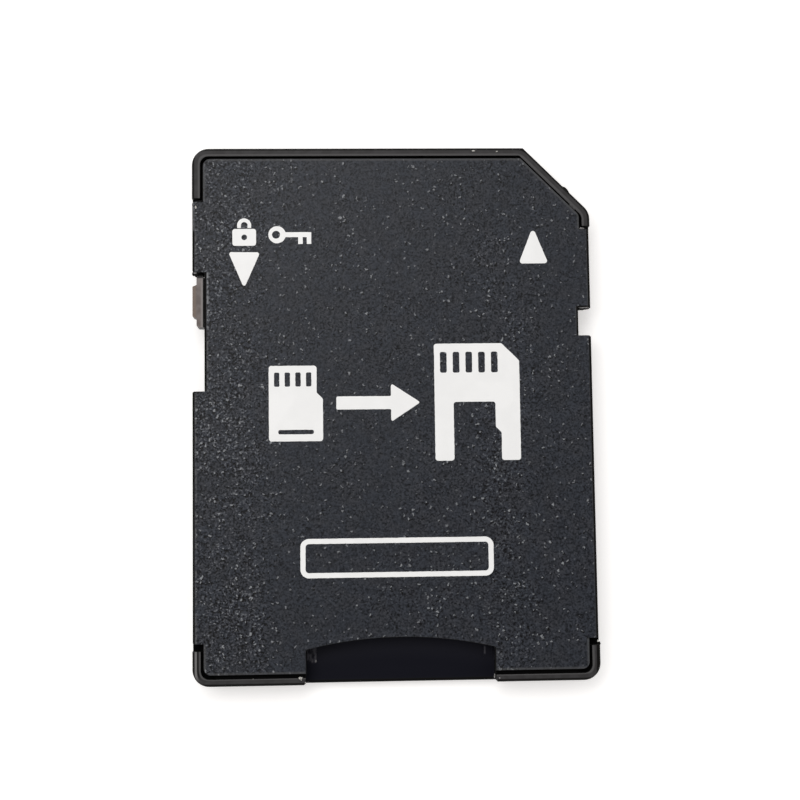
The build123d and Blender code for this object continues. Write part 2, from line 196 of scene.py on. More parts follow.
scraped_burrs = [
    ((11.50, 11.00, 1.97), 0.085, (1.7, 0.6, 0.5)),
    ((11.50, 6.17, 1.90), 0.032, (9.5, 1.0, 1.0)),
    ((-11.80, 8.41, 1.99), 0.050, (1.6, 0.9, 0.6)),
    ((-4.82, -14.71, 0.83), 0.050, (0.7, 1.6, 0.5)),
    ((5.70, -15.66, 1.86), 0.040, (0.8, 3.4, 0.8)),
    ((5.98, -15.76, 1.97), 0.055, (1.1, 1.3, 0.7)),
]
run_out_burrs = [
    ((10.86, 12.37, 1.98), 0.110, (1.2, 1.2, 0.45)),
    ((11.02, 12.24, 1.97), 0.090, (1.1, 1.1, 0.45)),
    ((6.22, -15.93, 1.80), 0.080, (2.6, 1.0, 0.8)),
    ((-11.93, 12.56, 1.95), 0.060, (0.8, 1.0, 1.0)),
    ((-11.94, 8.40, 1.65), 0.080, (0.8, 1.2, 3.4)),
    ((-11.60, 8.45, 1.10), 0.100, (3.8, 1.6, 6.0)),
    ((11.44, 6.24, 1.20), 0.100, (4.6, 1.1, 5.0)),
    ((11.95, -13.86, 1.85), 0.070, (0.9, 1.6, 1.0)),
]

# Print: a thin layer of white ink on the cover
ink_thickness = 0.014
ink_sink = 0.004
ink_step = 0.07
ink_waver = 0.012
ink_waver_length = 0.22
ink_seed = 7

# Print: the lock sign, with a padlock and a key, and the arrow under it
lock_arrow = [(-9.81, 9.64), (-7.92, 9.62), (-8.88, 7.44)]
lock_arrow_rounding = 0.11
padlock_middle = -8.86
padlock_low = 10.02
padlock_width = 1.42
padlock_height = 1.02
padlock_rounding = 0.16
padlock_keyhole = 0.17
padlock_shackle = 0.42
padlock_stroke = 0.22
padlock_gap = 0.06
padlock_leg = 0.16
shackle_steps = 12
key_low = 10.68
key_bow = 0.52
key_hole = 0.24
key_hole_shift = 0.06
key_start = -7.42
key_end = -4.86
key_stroke = 0.3
key_bit = 0.42
key_bit_places = (2.6, 1.7, 0.9)
bow_steps = 24

# Print: the arrow that shows which way the card goes in
insert_arrow = [(8.49, 11.09), (7.60, 8.85), (9.39, 8.86)]
insert_arrow_rounding = 0.15

# Print: the pictogram of a small card that goes into a full-size one
sign_middle = 0.53
small_sign_left = -7.45
small_sign_width = 3.2
small_sign_height = 4.5
small_sign_step = 0.36
small_sign_shoulder = 0.56
small_sign_slots = 4
arrow_left = -3.45
arrow_right = 1.55
arrow_shaft = 0.78
arrow_head = 2.3
arrow_head_length = 1.75
arrow_rounding = 0.08
large_sign_left = 2.4
large_sign_width = 5.1
large_sign_height = 7.0
large_sign_cut = 1.05
large_sign_slots = 5
pocket_half_width = 1.42
pocket_depth = 3.5
pocket_step = 0.34
pocket_shoulder = 1.5
sign_rounding = 0.16

# Print: a contact of each card in the pictogram, by its half width, deep and near end and rounding
small_slot = (0.16, 1.25, 0.4, 0.08)
large_slot = (0.2, 1.75, 0.5, 0.1)

# Print: the small card's grip line, by its distance from both sides, low and high edge and rounding
grip_line = (0.55, 0.42, 0.68, 0.1)

# Print: the box to write in
label_left = -5.65
label_right = 5.75
label_low = -9.78
label_high = -7.48
label_stroke = 0.3
label_rounding = 0.5


class Shading:
    """A node material under construction, with short calls that add its nodes."""

    def __init__(self, name):
        self.material = bpy.data.materials.new(name)
        self.material.use_nodes = True
        self.tree = self.material.node_tree
        self.shader = self.tree.nodes["Principled BSDF"]
        where = self.node("ShaderNodeTexCoord").outputs
        self.place = where["Object"]
        self.facing = where["Normal"]

    def node(self, kind, inputs=None, **settings):
        """Add a node, set it and link or fill its inputs."""
        made = self.tree.nodes.new(kind)
        for key, value in settings.items():
            setattr(made, key, value)
        for socket, value in (inputs or {}).items():
            if isinstance(value, bpy.types.NodeSocket):
                self.tree.links.new(value, made.inputs[socket])
            else:
                made.inputs[socket].default_value = value
        return made

    def noise(self, size, detail=2.0, roughness=0.5, place=None):
        """Smooth noise with features of one size in millimetres."""
        inputs = {
            "Vector": place or self.place,
            "Scale": 1.0 / (size * mm),
            "Detail": detail,
            "Roughness": roughness,
        }
        return self.node("ShaderNodeTexNoise", inputs).outputs["Fac"]

    def warped(self, size, reach):
        """The place on the surface, shifted by noise, so that shapes on it come out uneven."""
        inputs = {"Vector": self.place, "Scale": 1.0 / (size * mm), "Detail": 1.0}
        swirl = self.node("ShaderNodeTexNoise", inputs).outputs["Color"]
        middle = self.node("ShaderNodeVectorMath", {0: swirl, 1: (0.5, 0.5, 0.5)}, operation="SUBTRACT")
        scale = (reach * mm,) * 3
        moved = {0: middle.outputs[0], 1: scale, 2: self.place}
        return self.node("ShaderNodeVectorMath", moved, operation="MULTIPLY_ADD").outputs[0]

    def shifted(self, place, shift):
        """A place moved by a shift in millimetres."""
        moved = {0: place, 1: [part * mm for part in shift]}
        return self.node("ShaderNodeVectorMath", moved, operation="ADD").outputs[0]

    def dots(self, spacing, reach, share, place=None):
        """Scattered soft dots: a share of the cells of one spacing get a dot of a relative reach."""
        inputs = {"Vector": place or self.place, "Scale": 1.0 / (spacing * mm)}
        made = self.node("ShaderNodeTexVoronoi", inputs)
        chance = self.node("ShaderNodeSeparateColor", {0: made.outputs["Color"]}).outputs[0]
        chosen = self.ramp(chance, 1.0 - share, 1.0 - 0.5 * share)
        return self.maths("MULTIPLY", self.ramp(made.outputs["Distance"], reach, 0.3 * reach), chosen)

    def ramp(self, value, low, high, start=0.0, end=1.0):
        """Carry a value from one range to another, smoothly and without leaving it."""
        inputs = {"Value": value, "From Min": low, "From Max": high, "To Min": start, "To Max": end}
        made = self.node("ShaderNodeMapRange", inputs, interpolation_type="SMOOTHSTEP")
        return made.outputs["Result"]

    def maths(self, operation, first, second=0.0, third=0.0):
        """One sum of two or three values."""
        inputs = {0: first, 1: second, 2: third}
        return self.node("ShaderNodeMath", inputs, operation=operation).outputs[0]

    def tint(self, factor, first, second):
        """Colours mixed by a factor."""
        made = self.node("ShaderNodeMix", {0: factor, 6: first, 7: second}, data_type="RGBA")
        return made.outputs[2]

    def axis(self, index):
        """One coordinate of the place on the surface, in metres."""
        return self.node("ShaderNodeSeparateXYZ", {0: self.place}).outputs[index]

    def steps(self, index, levels):
        """A value that jumps along one coordinate, from (start, value) pairs in millimetres."""
        value = levels[0][1] * mm
        before = levels[0][1]
        for start, after in levels[1:]:
            past = self.maths("GREATER_THAN", self.axis(index), start * mm)
            value = self.maths("MULTIPLY_ADD", past, (after - before) * mm, value)
            before = after
        return value

    def cut_inset(self):
        """How far inside the cut corner's face the place is in plan, in metres."""
        reach = self.maths("ADD", self.axis(0), self.axis(1))
        line = (half_width + half_length - cut_corner) * mm
        return self.maths("MULTIPLY", self.maths("SUBTRACT", line, reach), math.sqrt(0.5))

    def inset(self):
        """How far inside the card's outline the place is in plan, in metres."""
        side = self.maths("SUBTRACT", half_width * mm, self.maths("ABSOLUTE", self.axis(0)))
        end = self.maths("SUBTRACT", half_length * mm, self.maths("ABSOLUTE", self.axis(1)))
        nearest = self.maths("SMOOTH_MIN", side, end, 0.9 * mm)
        return self.maths("SMOOTH_MIN", nearest, self.cut_inset(), 0.4 * mm)

    def band(self, value, low, high, fade):
        """1 where a value lies between two limits in millimetres, fading over a length at both."""
        above = self.ramp(value, (low - fade) * mm, (low + fade) * mm)
        below = self.ramp(value, (high + fade) * mm, (high - fade) * mm)
        return self.maths("MULTIPLY", above, below)

    def oblong(self, across, across_fade, along, along_fade):
        """1 in a rectangle seen from above, from its limits along X and Y in millimetres."""
        sideways = self.band(self.axis(0), *across, across_fade)
        return self.maths("MULTIPLY", sideways, self.band(self.axis(1), *along, along_fade))

    def onset(self, index, start, full):
        """0 to 1 along one coordinate, between two places in millimetres."""
        return self.ramp(self.axis(index), start * mm, full * mm)

    def upright(self):
        """How far the surface faces up: 1 on top faces, 0 on walls and below."""
        return self.node("ShaderNodeSeparateXYZ", {0: self.facing}).outputs[2]

    def relief(self, height, depth):
        """Bump from a height, with the depth in millimetres."""
        inputs = {"Height": height, "Distance": depth * mm, "Strength": 1.0}
        return self.node("ShaderNodeBump", inputs).outputs["Normal"]

    def finish(self, colour=None, roughness=None, normal=None, **fixed):
        """Link what varies and set what doesn't on the shader itself."""
        for socket, value in (("Base Color", colour), ("Roughness", roughness), ("Normal", normal)):
            if isinstance(value, bpy.types.NodeSocket):
                self.tree.links.new(value, self.shader.inputs[socket])
            elif value is not None:
                self.shader.inputs[socket].default_value = value
        for key, value in fixed.items():
            self.shader.inputs[key.replace("_", " ")].default_value = value
        return self.material


def opaque(red, green, blue):
    """A colour with full alpha."""
    return (red, green, blue, 1.0)


def eroded_plastic():
    """The cover's finish: bluish charcoal, grained by a spark-eroded mould, with painted glints and shade.
    """
    make = Shading("eroded_plastic")
    warped = make.warped(0.3, 0.2)
    ragged = make.warped(0.2, 0.35)
    strength = grain_strength(make)
    grain = make.maths("SUBTRACT", make.noise(grain_size, 1.0, 0.5, warped), 0.5)
    relief = make.maths("MULTIPLY", grain, strength)
    # Painted highlight on the relief's high points and painted shade in its hollows
    bright = make.ramp(relief, 0.20, 0.48, 0.0, 0.6)
    dark = make.ramp(relief, -0.12, -0.29)
    # Painted glints in scattered dots, each with a painted shadow of a pit shifted to one side of it
    spark = make.maths("MULTIPLY", make.dots(glint_spacing, glint_reach, glint_share, ragged), strength)
    pit_shade_place = make.shifted(ragged, pit_shade_shift)
    pit_shade = make.maths("MULTIPLY", make.dots(glint_spacing, pit_shade_reach, pit_shade_share, pit_shade_place), strength)
    patch = make.ramp(make.noise(0.9), 0.35, 0.65)
    plain = make.tint(patch, opaque(0.0342, 0.0388, 0.0496), opaque(0.0372, 0.0396, 0.0474))
    # The ground is darker in the relief's hollows: painted shade
    hollow_shaded_ground = make.tint(make.ramp(relief, -0.2, 0.2), opaque(0.0095, 0.0110, 0.0150), plain)
    shaded = make.tint(make.maths("MAXIMUM", dark, pit_shade), hollow_shaded_ground, opaque(0.0008, 0.0008, 0.0012))
    grain_with_painted_light = make.tint(make.maths("MAXIMUM", bright, spark), shaded, opaque(0.225, 0.234, 0.248))
    colour, rough = cover_edges(make, grain_with_painted_light)
    return make.finish(colour, rough, make.relief(relief, grain_depth), Specular_IOR_Level=0.2)


def grain_strength(make):
    """How strong the cover's grain is: most towards the lock side, and in a lane on the other side."""
    clusters = make.ramp(make.noise(0.8, 1.0), 0.3, 0.7, 1.0, 1.5)
    sideways = make.maths("MULTIPLY_ADD", make.noise(3.0), 3.0 * mm, make.axis(0))
    towards_lock = make.ramp(sideways, strong_start * mm, strong_full * mm, 0.74, 1.4)
    lane = make.band(sideways, lane_left, lane_right, lane_fade)
    faded = make.ramp(make.axis(1), lane_end * mm, lane_full * mm, 0.0, 0.45)
    across = make.maths("MULTIPLY_ADD", lane, faded, towards_lock)
    wide = make.ramp(make.noise(4.0, 1.0), 0.35, 0.65, 0.85, 1.1)
    return make.maths("MULTIPLY", clusters, make.maths("MULTIPLY", across, wide))


def cover_edges(make, grain_with_painted_light):
    """The cover's edges: painted highlights by the rim, painted shade where they turn down to the open
    sides.
    """
    from_lock_side = make.maths("SUBTRACT", make.axis(0), make.steps(1, lock_edges))
    from_index_side = make.maths("SUBTRACT", make.steps(1, index_edges), make.axis(0))
    from_end = make.maths("SUBTRACT", cover_end * mm, make.maths("ABSOLUTE", make.axis(1)))
    from_cut = make.maths("SUBTRACT", make.cut_inset(), cut_cover_inset * mm)
    from_seam = make.maths("SMOOTH_MIN", from_end, from_cut, 0.2 * mm)
    flanked = make.band(make.axis(1), trailing_seam, index_flank_end, 0.1)
    open_side = make.maths("MINIMUM", from_lock_side, from_index_side)
    nearest = make.maths("MINIMUM", from_seam, open_side)
    # Painted highlight along the edges beside the seam, a broken painted highlight line along the lock
    # side, and a brighter painted glint beside the tab
    edge_highlight = make.ramp(nearest, edge_highlight_start * mm, edge_highlight_full * mm, 0.0, 0.45)
    flecks = make.ramp(make.noise(0.17), 0.44, 0.62)
    lit = make.maths("MULTIPLY", make.band(from_lock_side, *lit_line, 0.04), flanked)
    beside_tab = make.band(make.axis(1), tab_near, notch_end, 0.2)
    glint = make.tint(beside_tab, opaque(0.090, 0.091, 0.093), opaque(0.200, 0.205, 0.215))
    edge = make.maths("MAXIMUM", edge_highlight, make.maths("MULTIPLY", lit, flecks))
    light = make.tint(edge, grain_with_painted_light, glint)
    # Painted shade where the edge turns down to the open sides and on tilted walls, kept off the lip at the
    # notch's far end
    turned_shade = make.maths("MULTIPLY", make.ramp(open_side, turned_shade_start * mm, turned_shade_full * mm), flanked)
    at_notch_end = make.band(make.axis(1), *notch_lip_reach, 0.02)
    notch_lip = make.maths("MULTIPLY", at_notch_end, make.maths("LESS_THAN", make.axis(0), 0.0))
    tilted_shade = make.maths("SUBTRACT", make.ramp(make.upright(), 0.8, 0.6), notch_lip)
    wall_shade = make.maths("MAXIMUM", turned_shade, tilted_shade)
    colour = make.tint(wall_shade, light, opaque(0.0008, 0.0005, 0.0004))
    return colour, make.maths("MULTIPLY_ADD", wall_shade, 0.5, 0.4)


def satin_plastic():
    """The back shell's finish: satin black outside, and smooth and dark inside the mould's core."""
    make = Shading("satin_plastic")
    grain = make.noise(0.09, 2.0, 0.55)
    inset = make.inset()
    core = core_reach(make)
    # Painted shade: near black in the narrow gaps, on walls and at the mouth
    gap_shade = painted_gap_shade(make, inset, core)
    plain = make.tint(core, rim_tone(make, inset), bay_tone(make))
    colour = make.tint(gap_shade, plain, opaque(0.0006, 0.0006, 0.0006))
    rough = make.maths("MULTIPLY_ADD", gap_shade, 0.45, make.maths("MULTIPLY_ADD", core, -0.22, 0.5))
    depth = make.maths("MULTIPLY", grain, make.maths("SUBTRACT", 1.0, core))
    return make.finish(colour, rough, make.relief(depth, 0.006), Specular_IOR_Level=0.13)


def core_reach(make):
    """1 inside the shell, where the mould's core was smooth: below the rim, and off the back and sides."""
    high = make.onset(2, bay_ceiling + 0.3, bay_ceiling + 0.1)
    low = make.onset(2, 0.2, 0.4)
    sideways = make.maths("ABSOLUTE", make.axis(0))
    limit = half_width - core_side
    across = make.ramp(sideways, limit * mm, (limit - 0.2) * mm)
    lengthwise = make.onset(1, 0.03 - half_length, 0.06 - half_length)
    level = make.maths("MULTIPLY", high, low)
    return make.maths("MULTIPLY", level, make.maths("MULTIPLY", across, lengthwise))


def painted_gap_shade(make, inset, core):
    """Painted shade: 1 in the narrow gaps that no light reaches: the seam, the gap past the flank, walls
    and the mouth.
    """
    sunk = make.band(make.axis(2), bay_ceiling - 0.05, rim_top - 0.08, 0.04)
    seam = make.maths("MULTIPLY", sunk, make.band(inset, rim_width - 0.15, rim_width + 0.7, 0.05))
    ledge = make.band(make.axis(2), rail_top - 0.1, rail_top + 0.1, mark_fade)
    gap = make.maths("MULTIPLY", ledge, make.band(make.axis(1), *flank_gap, mark_fade))
    facing_up = make.ramp(make.upright(), 0.5, 0.2)
    facing_down = make.ramp(make.upright(), -0.5, -0.2)
    wall_shade = make.maths("MULTIPLY", facing_up, facing_down)
    shaded_walls = make.maths("MULTIPLY", wall_shade, make.band(inset, 0.1, 1.2, 0.05))
    mouth = make.maths("MULTIPLY", make.onset(1, 0.24 - half_length, 0.14 - half_length), core)
    gaps = make.maths("MAXIMUM", seam, gap)
    return make.maths("MAXIMUM", gaps, make.maths("MAXIMUM", shaded_walls, mouth))


def rim_tone(make, inset):
    """The rim's colour: painted shade outside, painted highlight by the seam, a painted ridge at lower
    left.
    """
    patch = make.ramp(make.noise(0.5), 0.35, 0.65)
    top = make.tint(patch, opaque(0.0330, 0.0316, 0.0322), opaque(0.0430, 0.0415, 0.0428))
    # Painted highlight on the rim's lip beside the seam
    lip_highlighted = make.tint(make.band(inset, *rim_lip_highlight, mark_fade), top, opaque(0.074, 0.072, 0.073))
    below = make.band(make.axis(1), 0.5 - half_length, trailing_seam, 0.25)
    left = make.maths("MULTIPLY", below, make.maths("LESS_THAN", make.axis(0), 0.0))
    right = make.maths("MULTIPLY", below, make.maths("GREATER_THAN", make.axis(0), 0.0))
    # Down the lower left side, a painted highlight on the rim's rounded ridge and painted shade in a groove
    # inside it
    painted_line = make.maths("MULTIPLY", left, make.band(inset, *rim_groove_shade, mark_fade))
    ridge_highlight = make.maths("MULTIPLY", left, make.band(inset, *rim_ridge_highlight, mark_fade))
    groove_shaded = make.tint(painted_line, lip_highlighted, opaque(0.006, 0.006, 0.006))
    ridge_highlighted = make.tint(ridge_highlight, groove_shaded, opaque(0.170, 0.165, 0.163))
    # Painted shade on the rim's outer rounding, reaching further in at lower right and less far at lower
    # left
    widened = make.maths("MULTIPLY_ADD", right, -0.09 * mm, inset)
    across = make.maths("MULTIPLY_ADD", left, 0.03 * mm, widened)
    outer = make.ramp(across, rim_turn_shade_start * mm, rim_turn_shade_full * mm)
    return make.tint(outer, ridge_highlighted, opaque(0.0010, 0.0006, 0.0003))


def bay_tone(make):
    """The bay's colour: smooth and dark, with painted light near the arch, on the guide and in a streak."""
    bow = make.maths("MULTIPLY", make.axis(0), make.axis(0))
    depth = make.maths("MULTIPLY_ADD", bow, bay_bow, make.axis(1))
    # Painted light near the arch, against the shade that the cover casts there
    painted_arch_light = make.ramp(depth, (bay_arch - 1.6) * mm, (bay_arch - 0.2) * mm)
    plain = make.tint(painted_arch_light, opaque(0.0072, 0.0074, 0.0118), opaque(0.0125, 0.0126, 0.0178))
    streaks = make.node("ShaderNodeMapping", {"Vector": make.place, "Scale": (1.0, 0.35, 1.0)})
    # Painted light in streaks on the guide, and a painted highlight in a narrow streak on the right
    pale_sheen = make.ramp(make.noise(0.16, 2.0, 0.6, streaks.outputs[0]), 0.4, 0.6)
    guide = make.oblong(guide_across, mark_fade, guide_along, 0.08)
    painted_line = make.oblong(lit_streak_across, mark_fade, lit_streak_along, 0.06)
    lighter = make.maths("MAXIMUM", make.maths("MULTIPLY", guide, pale_sheen), painted_line)
    return make.tint(lighter, plain, opaque(0.066, 0.064, 0.074))


def tab_plastic():
    """The lock tab's finish: satin grey-brown, painted highlight by its inner edge, lighter to its far end.
    """
    make = Shading("tab_plastic")
    grain = make.noise(0.16, 3.0, 0.6)
    patch = make.ramp(make.noise(0.5), 0.35, 0.65)
    plain = make.tint(patch, opaque(0.110, 0.090, 0.083), opaque(0.155, 0.132, 0.124))
    # Painted highlight along the inner edge, and lighter towards the far end
    inner = make.onset(0, tab_inner - 0.2, tab_inner - 0.08)
    far = make.ramp(make.axis(1), (tab_far - 0.6) * mm, (tab_far - 0.25) * mm, 0.0, 0.5)
    body = make.tint(make.maths("MAXIMUM", inner, far), plain, opaque(0.215, 0.195, 0.190))
    knob = make.onset(0, tab_outer + 0.26, tab_outer + 0.16)
    warmed = make.tint(knob, body, opaque(0.150, 0.115, 0.094))
    # Painted shade where the tab dips into its slot and along its inner and far edges
    low = make.onset(2, tab_dip, tab_dip - 0.15)
    inner_edge_shade = make.onset(0, tab_inner - 0.05, tab_inner - 0.01)
    far_edge_shade = make.onset(1, tab_far - 0.14, tab_far - 0.08)
    shaded = make.maths("MAXIMUM", low, make.maths("MAXIMUM", inner_edge_shade, far_edge_shade))
    colour = make.tint(shaded, warmed, opaque(0.006, 0.005, 0.005))
    return make.finish(
        colour,
        make.ramp(grain, 0.3, 0.7, 0.5, 0.36),
        make.relief(grain, 0.006),
        Specular_IOR_Level=0.3,
    )


def comb_plastic():
    """The carrier's finish: dull black."""
    make = Shading("comb_plastic")
    grain = make.noise(0.12, 2.0, 0.5)
    colour = make.tint(grain, opaque(0.010, 0.010, 0.011), opaque(0.022, 0.022, 0.023))
    return make.finish(colour, make.ramp(grain, 0.3, 0.7, 0.6, 0.5), make.relief(grain, 0.006))


def gilding():
    """The leads' finish: gold plate over rolled strip, with fine lines along it."""
    make = Shading("gilding")
    stretched = make.node("ShaderNodeMapping", {"Vector": make.place, "Scale": (1.0, 0.06, 1.0)})
    lines = make.noise(0.035, 3.0, 0.6, stretched.outputs[0])
    patch = make.ramp(make.noise(1.1), 0.3, 0.7)
    colour = make.tint(patch, opaque(0.80, 0.55, 0.20), opaque(0.88, 0.66, 0.30))
    return make.finish(
        colour,
        make.ramp(lines, 0.3, 0.7, 0.2, 0.34),
        make.relief(lines, 0.0015),
        Metallic=1.0,
    )


def rolled_steel():
    """The retainer leaf's finish: bright rolled steel."""
    make = Shading("rolled_steel")
    stretched = make.node("ShaderNodeMapping", {"Vector": make.place, "Scale": (1.0, 0.06, 1.0)})
    lines = make.noise(0.04, 3.0, 0.6, stretched.outputs[0])
    colour = make.tint(lines, opaque(0.50, 0.50, 0.49), opaque(0.66, 0.65, 0.63))
    return make.finish(
        colour,
        make.ramp(lines, 0.3, 0.7, 0.2, 0.36),
        make.relief(lines, 0.0015),
        Metallic=1.0,
    )


def screen_ink():
    """The print's finish: opaque white ink that lies on the grain."""
    make = Shading("screen_ink")
    grain = make.noise(0.12, 2.0, 0.5)
    patch = make.ramp(make.noise(1.3), 0.35, 0.65)
    colour = make.tint(patch, opaque(0.89, 0.89, 0.885), opaque(0.92, 0.92, 0.915))
    return make.finish(
        colour,
        make.ramp(grain, 0.3, 0.7, 0.66, 0.56),
        make.relief(grain, 0.003),
        Specular_IOR_Level=0.3,
    )


def dress_nodes():
    """Give each CAD node its material, and hand the materials on by slot."""
    finishes = {
        "shell": satin_plastic(),
        "cover": eroded_plastic(),
        "carrier": comb_plastic(),
        "spring_steel": rolled_steel(),
        "slider": tab_plastic(),
        "gilded_leads": gilding(),
    }
    for part in frame["record"]["subparts"]:
        mesh = frame["nodes"][part["node"]].data
        mesh.materials.clear()
        mesh.materials.append(finishes[part["material_slot"]])
    return finishes


def rounded(corners, radius):
    """A closed loop through corners, each of them rounded to the same radius."""
    loop = []
    count = len(corners)
    for index, corner in enumerate(corners):
        here = Vector(corner)
        back = Vector(corners[index - 1]) - here
        on = Vector(corners[(index + 1) % count]) - here
        half_angle = back.angle(on) / 2
        reach = min(radius / math.tan(half_angle), back.length / 2, on.length / 2)
        actual = reach * math.tan(half_angle)
        inward = (back.normalized() + on.normalized()).normalized()
        centre = here + inward * (actual / math.sin(half_angle))
        start = here + back.normalized() * reach - centre
        turn = start.angle_signed(here + on.normalized() * reach - centre)
        steps = max(2, round(abs(turn) * actual / ink_step) + 1)
        for step in range(steps + 1):
            angle = -turn * step / steps
            spin = Vector((
                start.x * math.cos(angle) - start.y * math.sin(angle),
                start.x * math.sin(angle) + start.y * math.cos(angle),
            ))
            loop.append(centre + spin)
    return loop


def rectangle(left, right, low, high, radius):
    """A closed loop round a rectangle with rounded corners."""
    return rounded([(left, low), (right, low), (right, high), (left, high)], radius)


def arc(x, y, radius, start, end, steps):
    """Points along an arc between two angles."""
    turns = [start + (end - start) * step / steps for step in range(steps + 1)]
    return [Vector((x + radius * math.cos(turn), y + radius * math.sin(turn))) for turn in turns]


def ring(x, y, radius):
    """A closed loop round a circle."""
    steps = max(12, round(2 * math.pi * radius / ink_step))
    return arc(x, y, radius, 0.0, 2 * math.pi, steps)[:-1]


def printed(loop):
    """The loop as a screen prints it: in short steps, each a little off the true line."""
    result = []
    for index, here in enumerate(loop):
        run = loop[(index + 1) % len(loop)] - here
        steps = max(1, round(run.length / ink_step))
        for step in range(steps):
            point = here + run * (step / steps)
            spot = Vector((point.x, point.y, 0.0)) / ink_waver_length
            shift = noise.noise_vector(spot) * ink_waver
            result.append((point.x + shift.x, point.y + shift.y))
    return result


def ink(name, loops, material):
    """One printed mark: a thin closed solid on the cover, from its outlines and holes."""
    shape = bmesh.new()
    low = (cover_top - ink_sink) * mm
    for loop in loops:
        corners = [shape.verts.new((x * mm, y * mm, low)) for x, y in printed(loop)]
        for index, corner in enumerate(corners):
            shape.edges.new((corners[index - 1], corner))
    filled = bmesh.ops.triangle_fill(shape, use_beauty=True, use_dissolve=False, edges=shape.edges[:])
    faces = [item for item in filled["geom"] if isinstance(item, bmesh.types.BMFace)]
    raised = bmesh.ops.extrude_face_region(shape, geom=faces, use_keep_orig=True)
    lifted = [item for item in raised["geom"] if isinstance(item, bmesh.types.BMVert)]
    bmesh.ops.translate(shape, verts=lifted, vec=(0, 0, (ink_sink + ink_thickness) * mm))
    bmesh.ops.recalc_face_normals(shape, faces=shape.faces[:])
    return piece(name, shape, material, "housing")


def piece(name, shape, material, body):
    """Make an object of a shape, and let it ride on a body."""
    mesh = bpy.data.meshes.new(name)
    shape.to_mesh(mesh)
    shape.free()
    mesh.materials.append(material)
    made = bpy.data.objects.new(name, mesh)
    bpy.context.scene.collection.objects.link(made)
    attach(made, body)
    return made


def padlock():
    """Outlines of a closed padlock with a round keyhole."""
    half = padlock_width / 2
    top = padlock_low + padlock_height
    body = rectangle(padlock_middle - half, padlock_middle + half, padlock_low, top, padlock_rounding)
    hole = ring(padlock_middle, padlock_low + padlock_height / 2, padlock_keyhole)
    inner = padlock_shackle - padlock_stroke
    foot = top + padlock_gap
    crown = foot + padlock_leg
    shackle = [Vector((padlock_middle + padlock_shackle, foot))]
    shackle += arc(padlock_middle, crown, padlock_shackle, 0.0, math.pi, shackle_steps)
    shackle.append(Vector((padlock_middle - padlock_shackle, foot)))
    shackle.append(Vector((padlock_middle - inner, foot)))
    shackle += arc(padlock_middle, crown, inner, math.pi, 0.0, shackle_steps)
    shackle.append(Vector((padlock_middle + inner, foot)))
    return [body, hole, shackle]


def key():
    """Outlines of a key: a round bow with a hole, a stem and two bits."""
    bow_x = key_start + key_bow
    stem_low = key_low - key_stroke / 2
    stem_high = key_low + key_stroke / 2
    bit_low = stem_low - key_bit
    near_bit, near_bit_end, end_bit = [key_end - place * key_stroke for place in key_bit_places]
    open_angle = math.asin(key_stroke / 2 / key_bow)
    loop = arc(bow_x, key_low, key_bow, open_angle, 2 * math.pi - open_angle, bow_steps)
    for corner in (
        (near_bit, stem_low),
        (near_bit, bit_low),
        (near_bit_end, bit_low),
        (near_bit_end, stem_low),
        (end_bit, stem_low),
        (end_bit, bit_low),
        (key_end, bit_low),
        (key_end, stem_high),
    ):
        loop.append(Vector(corner))
    return [loop, ring(bow_x - key_hole_shift, key_low, key_hole)]


def small_card_sign():
    """Outlines of a small card, with its stepped side, contacts and grip line."""
    left = small_sign_left
    right = left + small_sign_width
    narrow = right - small_sign_step
    low = sign_middle - small_sign_height / 2
    high = sign_middle + small_sign_height / 2
    shoulder = low + small_sign_shoulder * small_sign_height
    corners = [
        (left, low),
        (right, low),
        (right, shoulder),
        (narrow, shoulder + small_sign_step),
        (narrow, high),
        (left, high),
    ]
    pitch = (small_sign_width - small_sign_step) / (small_sign_slots + 0.5)
    middles = [left + pitch * (index + 0.75) for index in range(small_sign_slots)]
    side, grip_low, grip_high, rounding = grip_line
    grip = rectangle(left + side, right - side, low + grip_low, low + grip_high, rounding)
    return [rounded(corners, sign_rounding)] + slot_row(middles, high, small_slot) + [grip]


def slot_row(middles, high, slot):
    """Outlines of a row of contacts below a card's end, from their half width, depths and rounding."""
    half, gap_shade, near, rounding = slot
    return [rectangle(x - half, x + half, high - gap_shade, high - near, rounding) for x in middles]


def arrow_sign():
    """Outline of the arrow from the small card to the full-size one."""
    neck = arrow_right - arrow_head_length
    half_shaft = arrow_shaft / 2
    half_head = arrow_head / 2
    corners = [
        (arrow_left, sign_middle - half_shaft),
        (neck, sign_middle - half_shaft),
        (neck, sign_middle - half_head),
        (arrow_right, sign_middle),
        (neck, sign_middle + half_head),
        (neck, sign_middle + half_shaft),
        (arrow_left, sign_middle + half_shaft),
    ]
    return rounded(corners, arrow_rounding)


def large_card_sign():
    """Outlines of a full-size card: cut corner, contacts and the pocket for the small card."""
    left = large_sign_left
    right = left + large_sign_width
    low = sign_middle - large_sign_height / 2
    high = sign_middle + large_sign_height / 2
    middle = (left + right) / 2
    pocket_left = middle - pocket_half_width
    pocket_right = middle + pocket_half_width
    pocket_narrow = pocket_right - pocket_step
    pocket_high = low + pocket_depth
    shoulder = pocket_high - pocket_shoulder
    corners = [
        (left, low),
        (pocket_left, low),
        (pocket_left, pocket_high),
        (pocket_narrow, pocket_high),
        (pocket_narrow, shoulder),
        (pocket_right, shoulder - pocket_step),
        (pocket_right, low),
        (right, low),
        (right, high - large_sign_cut),
        (right - large_sign_cut, high),
        (left, high),
    ]
    pitch = (large_sign_width - large_sign_cut) / (large_sign_slots + 0.3)
    middles = [left + pitch * (index + 0.72) for index in range(large_sign_slots)]
    return [rounded(corners, sign_rounding)] + slot_row(middles, high, large_slot)


